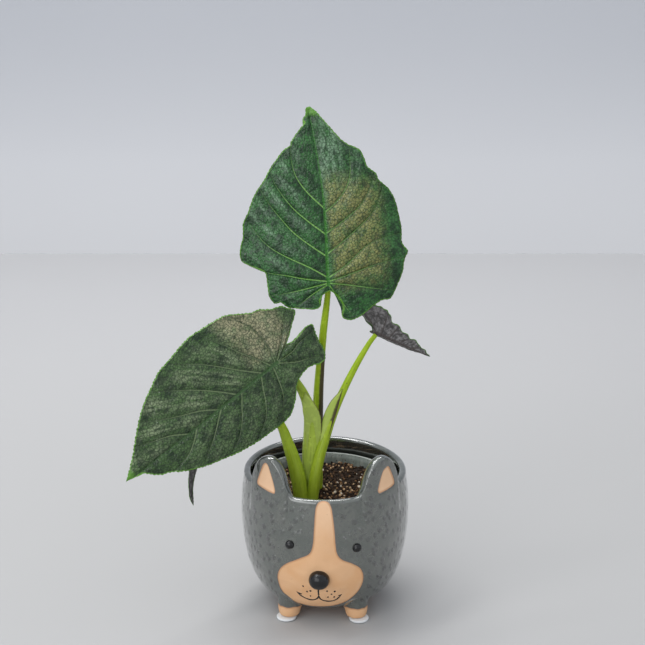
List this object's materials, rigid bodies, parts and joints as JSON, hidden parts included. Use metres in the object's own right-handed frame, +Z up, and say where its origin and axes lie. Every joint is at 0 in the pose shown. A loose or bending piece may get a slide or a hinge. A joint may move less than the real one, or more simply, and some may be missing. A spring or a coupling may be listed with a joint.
{
  "type": "potted alocasia",
  "caption": "Young alocasia with shield-shaped leaves on upright stalks, growing in soil in a nursery pot set inside a glazed ceramic planter with an animal face, ears and short feet.",
  "frame": {"origin": "centre of the whole plant and pot's box, on the surface that the foot pads stand on; the pot's own axis is at x = 0.0251, y = 0.0136", "axes": "+Z up; the planter's animal face looks along -Y, and +X is to the viewer's right when facing it"},
  "size_m": [0.1886, 0.1372, 0.3218],
  "materials": {
    "stoneware_glaze": "glossy grey glaze with small dimples, bare sand-coloured clay on the muzzle, inner ears and feet",
    "black_glaze": "glossy black glaze",
    "white_pad": "matte white",
    "nursery_plastic": "thin grey-green moulded plastic",
    "potting_mix": "crumbly dark mix with pale bark and perlite grains",
    "leaf_stalk": "satin lime green, fleshy, with dark brown sheath edges",
    "leaf_blade": "satin dark green with a silvery sheen and pale veins",
    "leaf_underside": "matte grey-purple underside of a young leaf"
  },
  "bodies": {
    "root": {"planter_body": "stoneware_glaze", "nose": "black_glaze", "eye_left": "black_glaze", "eye_right": "black_glaze", "foot_pad_front_left": "white_pad", "foot_pad_front_right": "white_pad", "foot_pad_back_left": "white_pad", "foot_pad_back_right": "white_pad", "nursery_pot": "nursery_plastic", "potting_soil": "potting_mix", "stalk_upright": "leaf_stalk", "stalk_spreading": "leaf_stalk", "stalk_right": "leaf_stalk", "stalk_low": "leaf_stalk", "leaf_upright": "leaf_blade", "leaf_spreading": "leaf_blade", "leaf_right": "leaf_underside", "leaf_low": "leaf_blade"}
  },
  "joints": []
}
